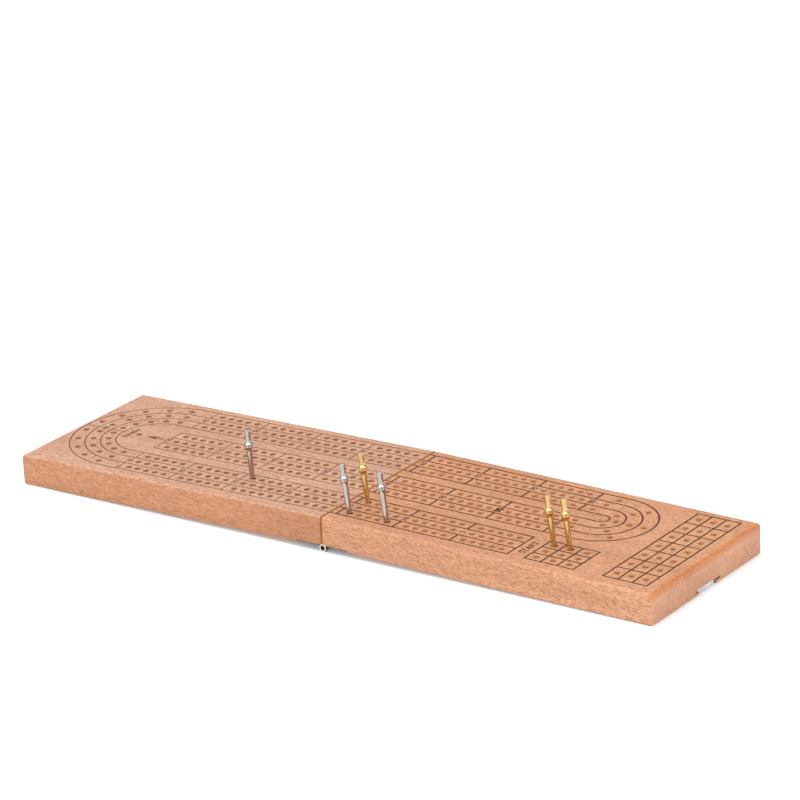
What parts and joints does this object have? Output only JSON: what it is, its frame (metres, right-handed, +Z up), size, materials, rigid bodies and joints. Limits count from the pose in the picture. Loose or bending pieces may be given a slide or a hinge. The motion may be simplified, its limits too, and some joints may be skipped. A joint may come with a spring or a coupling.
{
  "type": "cribbage board",
  "caption": "Folding wooden cribbage board: two halves on a strip hinge, tracks of peg holes, a peg compartment with a sliding cover, and metal pegs.",
  "frame": {"origin": "on the table under the joint between the halves, at the middle of the board's width: the bottom centre of the bounding box", "axes": "+Z up; +X along the board's length, towards the half with the peg compartment; +Y across the board, from the near row of holes to the far row"},
  "size_m": [0.3544, 0.096, 0.0412],
  "materials": {
    "board_wood": "satin clear lacquer over beech",
    "hinge_metal": "plain rolled, a little dulled",
    "screw_steel": "plain",
    "cover_steel": "brushed",
    "silver_metal": "bright nickel plate",
    "gold_metal": "bright polished"
  },
  "bodies": {
    "right_half": {"right_board": "board_wood", "hinge_leaf_right": "hinge_metal", "hinge_pin": "hinge_metal", "hinge_screws_right": "screw_steel"},
    "left_half": {"left_board": "board_wood", "hinge_leaf_left": "hinge_metal", "hinge_screws_left": "screw_steel"},
    "cover": {"compartment_cover": "cover_steel"},
    "silver_peg_1": {"silver_peg_1": "silver_metal"},
    "silver_peg_2": {"silver_peg_2": "silver_metal"},
    "silver_peg_3": {"silver_peg_3": "silver_metal"},
    "gold_peg_1": {"gold_peg_1": "gold_metal"},
    "gold_peg_2": {"gold_peg_2": "gold_metal"},
    "gold_peg_3": {"gold_peg_3": "gold_metal"}
  },
  "joints": [
    {"name": "fold", "type": "hinge", "parent": "right_half", "child": "left_half", "pos_m": [0, 0, 0.0018], "axis": [0, -1, 0], "range_deg": [-1.46, 178.5]},
    {"name": "cover_slide", "type": "slide", "parent": "right_half", "child": "cover", "axis": [0.9999, 0, -0.0128], "range_m": [0, 0.08]},
    {"name": "silver_peg_1_lift", "type": "slide", "parent": "left_half", "child": "silver_peg_1", "axis": [-0.0651, 0, 0.9979], "range_m": [0, 0.02]},
    {"name": "silver_peg_2_lift", "type": "slide", "parent": "right_half", "child": "silver_peg_2", "axis": [-0.1161, 0, 0.9932], "range_m": [0, 0.02]},
    {"name": "silver_peg_3_lift", "type": "slide", "parent": "right_half", "child": "silver_peg_3", "axis": [-0.1161, 0, 0.9932], "range_m": [0, 0.02]},
    {"name": "gold_peg_1_lift", "type": "slide", "parent": "right_half", "child": "gold_peg_1", "axis": [-0.1161, 0, 0.9932], "range_m": [0, 0.02]},
    {"name": "gold_peg_2_lift", "type": "slide", "parent": "right_half", "child": "gold_peg_2", "axis": [-0.1161, 0, 0.9932], "range_m": [0, 0.02]},
    {"name": "gold_peg_3_lift", "type": "slide", "parent": "right_half", "child": "gold_peg_3", "axis": [-0.1161, 0, 0.9932], "range_m": [0, 0.02]}
  ]
}
